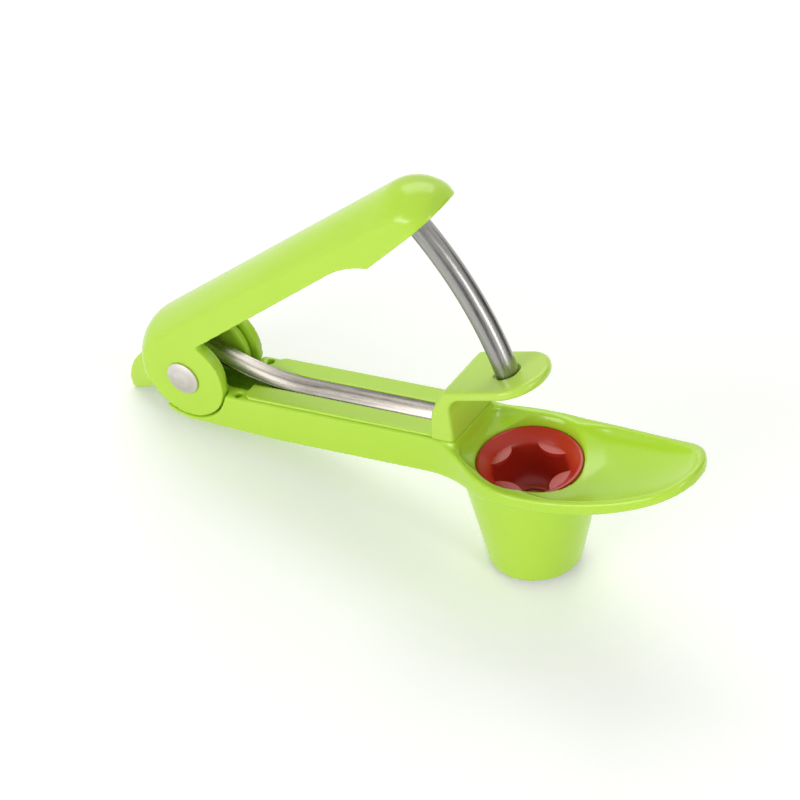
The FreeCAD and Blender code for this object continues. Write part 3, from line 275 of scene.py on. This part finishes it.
# radius and height of the soft cup's wall, from its foot up outside, over the lip and down inside to the hole
def cupOutline():
    value = cherryCup
    top = value["height"]
    foot = top - value["depth"]
    seat = top - value["lipDepth"]
    bottom = value["depth"] - value["floor"]
    outline = [(value["hole"], foot), (value["wallLow"], foot), (value["wallHigh"], seat),
               (value["lip"], seat), (value["lip"], top), (value["mouth"], top)]
    for ring in range(1, value["rings"] + 1):
        share = ring / value["rings"]
        depth = bottom * math.sin(share * math.pi / 2)
        full = (1 - (depth / bottom) ** value["wallPower"]) ** value["wallRoot"]
        pocket = (value["mouth"] - value["flare"] - value["hole"]) * full
        flare = value["flare"] * max(0.0, 1 - depth / value["flareDepth"]) ** value["flarePower"]
        outline.append((value["hole"] + pocket + flare, top - depth))
    return outline


def roundCorners(item):
    value = cherryCup
    applyModifier(item, "BEVEL", width=value["soft"], segments=value["softSegments"],
                  limit_method="ANGLE", angle_limit=math.radians(value["softAngle"]))


# one lens-shaped ledge: where a disc at the wall overlaps a round plug about the cup's axis
def makeLedge():
    value = cherryCup
    middle = value["height"] - value["ledgeTop"] - value["ledgeDeep"] / 2
    plugDepth = value["ledgeDeep"] * 3    # reaches past the ledge above and below
    deselect()
    bpy.ops.mesh.primitive_cylinder_add(vertices=value["ledgeSides"], radius=value["ledgeReach"],
                                        depth=plugDepth, location=(0, 0, middle))
    plug = bpy.context.object
    deselect()
    bpy.ops.mesh.primitive_cylinder_add(vertices=value["ledgeSides"], radius=value["ledgeRadius"],
                                        depth=value["ledgeDeep"], location=(value["ledgeOut"], 0, middle))
    ledge = bpy.context.object
    applyModifier(ledge, "BOOLEAN", operation="INTERSECT", object=plug, solver="EXACT")
    roundCorners(ledge)
    bpy.data.objects.remove(plug)
    deselect()
    ledge.select_set(True)
    bpy.context.view_layer.objects.active = ledge
    bpy.ops.object.transform_apply(location=True, rotation=True, scale=True)
    return ledge


# rings extruded round the cup's outline, with its ledges copied round the wall
def makeCherryCup():
    value = cherryCup
    outline = cupOutline()
    ledge = makeLedge()
    radius, height = outline[0]
    deselect()
    bpy.ops.mesh.primitive_circle_add(vertices=value["sides"], radius=radius, location=(0, 0, height))
    cup = bpy.context.object
    cup.name = "softCherryCup"
    bpy.ops.object.transform_apply(location=True, rotation=True, scale=True)
    bpy.ops.object.mode_set(mode="EDIT")
    bpy.ops.mesh.select_all(action="SELECT")
    for nextRadius, nextHeight in outline[1:]:
        bpy.ops.mesh.extrude_region_move(TRANSFORM_OT_translate={"value": (0, 0, nextHeight - height)})
        bpy.ops.transform.resize(value=(nextRadius / radius, nextRadius / radius, 1))
        radius, height = nextRadius, nextHeight
    pick("points", lambda spot: math.hypot(spot.x, spot.y) < value["hole"] + value["holeGap"])
    bpy.ops.mesh.bridge_edge_loops()
    bpy.ops.mesh.select_all(action="SELECT")
    bpy.ops.mesh.remove_doubles(threshold=mergeGap)
    bpy.ops.mesh.normals_make_consistent(inside=False)
    bpy.ops.object.mode_set(mode="OBJECT")
    roundCorners(cup)
    copies = []
    for number in range(value["ledges"]):
        turn = Matrix.Rotation(math.radians(value["ledgeTurn"] + 360 * number / value["ledges"]), 4, "Z")
        copy = bpy.data.objects.new("cupLedge", ledge.data.copy())
        bpy.context.collection.objects.link(copy)
        copy.data.transform(turn)
        copies.append(copy)
    bpy.data.objects.remove(ledge)
    deselect()
    for item in (cup, *copies):
        item.select_set(True)
    bpy.context.view_layer.objects.active = cup
    bpy.ops.object.join()
    tilt = Matrix.Rotation(math.radians(value["tilt"]), 4, "Y")
    settle(cup, toolAxes @ Matrix.Translation(value["foot"]) @ tilt)
    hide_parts("cherry_cup")
    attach(cup, "base")
    return cup


pieces = {"leaf_spring": makeLeafSpring(), "cherry_cup": makeCherryCup()}
print("spring and cup modelled")

# the mouldings are copies of the solids' meshes, made anew and smoothed so that their edges are rounded
mouldings = {
    # node: grain of the new mesh, rounds of smoothing, body
    "lower_body": (0.00060, 3, "base"),
    "upper_lever": (0.00052, 3, "lever"),
    "rod_guide": (0.00042, 3, "base"),
}
rounding = {"merge": 0.000001, "factor": 0.5}
noseDroop = {"tip": 0.1775, "reach": 0.048, "drop": 0.0013}    # sets the bowl's nose lower than the solid's


def droopNose():
    backToTool = toolAxes.inverted()
    bpy.ops.object.mode_set(mode="EDIT")
    pick("points", lambda spot: (backToTool @ spot).x > noseDroop["tip"])
    bpy.ops.transform.translate(value=(0, 0, -noseDroop["drop"]), use_proportional_edit=True,
                                proportional_edit_falloff="SMOOTH", proportional_size=noseDroop["reach"])
    bpy.ops.object.mode_set(mode="OBJECT")


def softenEdges(node, grain, rounds, body):
    deselect()
    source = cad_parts[node]
    item = bpy.data.objects.new(node + "Moulded", source.data.copy())
    item.matrix_world = source.matrix_world
    bpy.context.collection.objects.link(item)
    item.select_set(True)
    bpy.context.view_layer.objects.active = item
    bpy.ops.object.mode_set(mode="EDIT")
    bpy.ops.mesh.select_all(action="SELECT")
    bpy.ops.mesh.remove_doubles(threshold=rounding["merge"])
    bpy.ops.object.mode_set(mode="OBJECT")
    applyModifier(item, "REMESH", mode="VOXEL", voxel_size=grain)
    applyModifier(item, "SMOOTH", factor=rounding["factor"], iterations=rounds)
    if node == "lower_body":
        droopNose()
    settle(item, Matrix.Identity(4))
    bpy.ops.object.shade_smooth()
    item.data.materials.clear()
    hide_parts(node)
    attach(item, body)
    return item


for node, values in mouldings.items():
    pieces[node] = softenEdges(node, *values)
    triangles = sum(len(face.vertices) - 2 for face in pieces[node].data.polygons)
    print(node, "softened:", triangles, "triangles")


plastic = {
    "leafGreen": {"pale": (0.465, 0.715, 0.048, 1), "deep": (0.440, 0.700, 0.038, 1), "roughness": 0.22},
    "guideGreen": {"pale": (0.490, 0.715, 0.080, 1), "deep": (0.465, 0.700, 0.065, 1), "roughness": 0.25},
}
plasticBody = {
    "IOR": 1.5, "Subsurface Weight": 0.12, "Subsurface Radius": (0.8, 1.0, 0.25), "Subsurface Scale": 0.002,
}
silicone = {"pale": (0.56, 0.038, 0.018, 1), "deep": (0.46, 0.022, 0.010, 1), "roughness": 0.30}
siliconeBody = {
    "IOR": 1.42, "Subsurface Weight": 0.12, "Subsurface Radius": (1.0, 0.25, 0.12),
    "Subsurface Scale": 0.0015,
}
steel = {
    "rodSteel": {"pale": (0.44, 0.43, 0.415, 1), "deep": (0.22, 0.215, 0.205, 1), "roughness": 0.28,
                 "pattern": "rod", "bands": 260.0},
    "springSteel": {"pale": (0.46, 0.425, 0.38, 1), "deep": (0.13, 0.115, 0.10, 1), "roughness": 0.26,
                    "pattern": "strip", "bands": 420.0},
    "pinSteel": {"pale": (0.66, 0.62, 0.59, 1), "deep": (0.54, 0.51, 0.48, 1), "roughness": 0.36,
                 "pattern": "turned", "bands": 500.0},
    "screwSteel": {"pale": (0.55, 0.55, 0.55, 1), "deep": (0.36, 0.36, 0.36, 1), "roughness": 0.35,
                   "pattern": "strip", "bands": 900.0},
}
bumpDepth = {"plastic": 0.00002, "silicone": 0.00004, "steel": 0.000006}
# noises: scale, detail, roughness; ranges: the values taken, then the values given for them
skinPattern = {
    "clouds": (34.0, 2.0), "cloudRange": (0.3, 0.7, 0.0, 1.0),
    "smudges": (120.0, 4.0, 0.6), "smudgeRange": (0.3, 0.75, 0.93, 1.12),
    "ripple": (60.0, 1.0), "grain": (2600.0, 2.0), "grainShare": 0.10,
}
markPattern = {
    "stretch": (0.035, 1.0, 1.0), "scratches": (5200.0, 3.0, 0.65), "bandDetail": 1.5,
    "fineRange": (0.25, 0.75, -0.30, 0.30), "broadRange": (0.32, 0.68, 0.0, 1.0),
    "glossRange": (0.25, 0.75, 0.8, 1.25),
}
groupTakes = (("Vector", "NodeSocketVector"), ("Pale", "NodeSocketColor"), ("Deep", "NodeSocketColor"),
              ("Gloss", "NodeSocketFloat"))
groupGives = (("Colour", "NodeSocketColor"), ("Roughness", "NodeSocketFloat"), ("Height", "NodeSocketFloat"))


def newGroup(name, *extra):
    group = bpy.data.node_groups.new(name, "ShaderNodeTree")
    for label, kind in (*groupTakes, *extra):
        group.interface.new_socket(name=label, in_out="INPUT", socket_type=kind)
    for label, kind in groupGives:
        group.interface.new_socket(name=label, in_out="OUTPUT", socket_type=kind)
    nodes, links = group.nodes, group.links
    return group, nodes, links, nodes.new("NodeGroupInput"), nodes.new("NodeGroupOutput")


def noise(nodes, links, vector, scale, detail, roughness=0.5):
    node = nodes.new("ShaderNodeTexNoise")
    node.inputs["Scale"].default_value = scale
    node.inputs["Detail"].default_value = detail
    node.inputs["Roughness"].default_value = roughness
    links.new(vector, node.inputs["Vector"])
    return node.outputs[0]


def spread(nodes, links, value, fromLow, fromHigh, low, high):
    node = nodes.new("ShaderNodeMapRange")
    for key, number in (("From Min", fromLow), ("From Max", fromHigh), ("To Min", low), ("To Max", high)):
        node.inputs[key].default_value = number
    links.new(value, node.inputs["Value"])
    return node.outputs[0]


def maths(nodes, links, operation, first, second=None):
    node = nodes.new("ShaderNodeMath")
    node.operation = operation
    for socket, value in ((0, first), (1, second)):
        if isinstance(value, (int, float)):
            node.inputs[socket].default_value = value
        elif value is not None:
            links.new(value, node.inputs[socket])
    return node.outputs[0]


def blendColours(nodes, links, factor, first, second):
    node = nodes.new("ShaderNodeMix")
    node.data_type = "RGBA"
    links.new(factor, node.inputs[0])
    for socket, value in ((6, first), (7, second)):
        if isinstance(value, tuple):
            node.inputs[socket].default_value = value
        else:
            links.new(value, node.inputs[socket])
    return node.outputs[2]


# cloudy colour, uneven gloss and the faint ripple of a moulded surface
def mouldedSkin():
    value = skinPattern
    group, nodes, links, takes, gives = newGroup("mouldedSkin")
    vector = takes.outputs["Vector"]
    clouds = noise(nodes, links, vector, *value["clouds"])
    shade = spread(nodes, links, clouds, *value["cloudRange"])
    colour = blendColours(nodes, links, shade, takes.outputs["Deep"], takes.outputs["Pale"])
    links.new(colour, gives.inputs["Colour"])
    smudges = noise(nodes, links, vector, *value["smudges"])
    uneven = spread(nodes, links, smudges, *value["smudgeRange"])
    links.new(maths(nodes, links, "MULTIPLY", uneven, takes.outputs["Gloss"]), gives.inputs["Roughness"])
    ripple = noise(nodes, links, vector, *value["ripple"])
    grain = noise(nodes, links, vector, *value["grain"])
    fine = maths(nodes, links, "MULTIPLY", grain, value["grainShare"])
    links.new(maths(nodes, links, "ADD", ripple, fine), gives.inputs["Height"])
    return group


# fine scratches and soft bands that run along the pattern's X
def brushMarks():
    value = markPattern
    group, nodes, links, takes, gives = newGroup("brushMarks", ("Bands", "NodeSocketFloat"))
    stretch = nodes.new("ShaderNodeMapping")
    stretch.inputs["Scale"].default_value = value["stretch"]
    links.new(takes.outputs["Vector"], stretch.inputs["Vector"])
    vector = stretch.outputs[0]
    scratches = noise(nodes, links, vector, *value["scratches"])
    bands = nodes.new("ShaderNodeTexNoise")
    bands.inputs["Detail"].default_value = value["bandDetail"]
    links.new(vector, bands.inputs["Vector"])
    links.new(takes.outputs["Bands"], bands.inputs["Scale"])
    fine = spread(nodes, links, scratches, *value["fineRange"])
    broad = spread(nodes, links, bands.outputs[0], *value["broadRange"])
    shade = maths(nodes, links, "ADD", broad, fine)
    colour = blendColours(nodes, links, shade, takes.outputs["Deep"], takes.outputs["Pale"])
    links.new(colour, gives.inputs["Colour"])
    uneven = spread(nodes, links, scratches, *value["glossRange"])
    links.new(maths(nodes, links, "MULTIPLY", uneven, takes.outputs["Gloss"]), gives.inputs["Roughness"])
    links.new(scratches, gives.inputs["Height"])
    return group


groups = {"skin": mouldedSkin(), "marks": brushMarks()}


def newMaterial(name):
    material = bpy.data.materials.new(name)
    material.use_nodes = True
    nodes, links = material.node_tree.nodes, material.node_tree.links
    return material, nodes, links, nodes["Principled BSDF"]


# places a group and joins its colour, gloss and height to the shader
def useGroup(nodes, links, shader, group, vector, values, depth):
    node = nodes.new("ShaderNodeGroup")
    node.node_tree = groups[group]
    links.new(vector, node.inputs["Vector"])
    node.inputs["Pale"].default_value = values["pale"]
    node.inputs["Deep"].default_value = values["deep"]
    node.inputs["Gloss"].default_value = values["roughness"]
    links.new(node.outputs["Colour"], shader.inputs["Base Color"])
    links.new(node.outputs["Roughness"], shader.inputs["Roughness"])
    bump = nodes.new("ShaderNodeBump")
    bump.inputs["Strength"].default_value = 1.0
    bump.inputs["Distance"].default_value = depth
    links.new(node.outputs["Height"], bump.inputs["Height"])
    links.new(bump.outputs[0], shader.inputs["Normal"])
    return node


def mouldedSurface(name, values, depth, body):
    material, nodes, links, shader = newMaterial(name)
    spot = nodes.new("ShaderNodeTexCoord").outputs["Object"]
    useGroup(nodes, links, shader, "skin", spot, values, depth)
    for socket, number in body.items():
        shader.inputs[socket].default_value = number
    return material


# Object coordinates measured from the hinge axis: out, across, and the turn about it
def hingeDistances(nodes, links):
    spot = nodes.new("ShaderNodeTexCoord").outputs["Object"]
    centred = nodes.new("ShaderNodeVectorMath")
    centred.operation = "SUBTRACT"
    centred.inputs[1].default_value = place["hinge"]
    links.new(spot, centred.inputs[0])
    parts = nodes.new("ShaderNodeSeparateXYZ")
    links.new(centred.outputs[0], parts.inputs[0])
    along, across, up = parts.outputs
    squares = [maths(nodes, links, "MULTIPLY", part, part) for part in (along, up)]
    out = maths(nodes, links, "SQRT", maths(nodes, links, "ADD", *squares))
    turn = maths(nodes, links, "ARCTAN2", up, along)
    return out, across, turn


def joined(nodes, links, *values):
    node = nodes.new("ShaderNodeCombineXYZ")
    for number, value in enumerate(values):
        if isinstance(value, (int, float)):
            node.inputs[number].default_value = value
        else:
            links.new(value, node.inputs[number])
    return node.outputs[0]


def finishSteel(name):
    value = steel[name]
    material, nodes, links, shader = newMaterial(name)
    out, across, turn = hingeDistances(nodes, links)
    if value["pattern"] == "rod":    # marks along its curve
        along = maths(nodes, links, "MULTIPLY", turn, place["rodPath"])
        off = maths(nodes, links, "SUBTRACT", out, place["rodPath"])
        vector = joined(nodes, links, along, off, across)
    elif value["pattern"] == "strip":    # marks straight away from the hinge axis
        vector = joined(nodes, links, out, across, 0.0)
    else:    # marks round the hinge axis
        vector = joined(nodes, links, maths(nodes, links, "MULTIPLY", turn, place["pinPath"]), out, across)
    node = useGroup(nodes, links, shader, "marks", vector, value, bumpDepth["steel"])
    node.inputs["Bands"].default_value = value["bands"]
    shader.inputs["Metallic"].default_value = 1.0
    return material


materials = {}
for name, values in plastic.items():
    materials[name] = mouldedSurface(name, values, bumpDepth["plastic"], plasticBody)
materials["cherryRed"] = mouldedSurface("cherryRed", silicone, bumpDepth["silicone"], siliconeBody)
for name in steel:
    materials[name] = finishSteel(name)
finishes = {
    "lower_body": "leafGreen", "upper_lever": "leafGreen", "rod_guide": "guideGreen",
    "lock_slider": "guideGreen", "cherry_cup": "cherryRed", "leaf_spring": "springSteel",
    "pitting_rod": "rodSteel", "hinge_pin": "pinSteel", "hinge_pin_cap": "pinSteel",
    "guide_screw_front": "screwSteel", "guide_screw_near": "screwSteel", "guide_screw_far": "screwSteel",
}
for node, finish in finishes.items():
    for item in (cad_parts[node], pieces.get(node)):
        if item:
            item.data.materials.clear()
            item.data.materials.append(materials[finish])
print("finishes on")
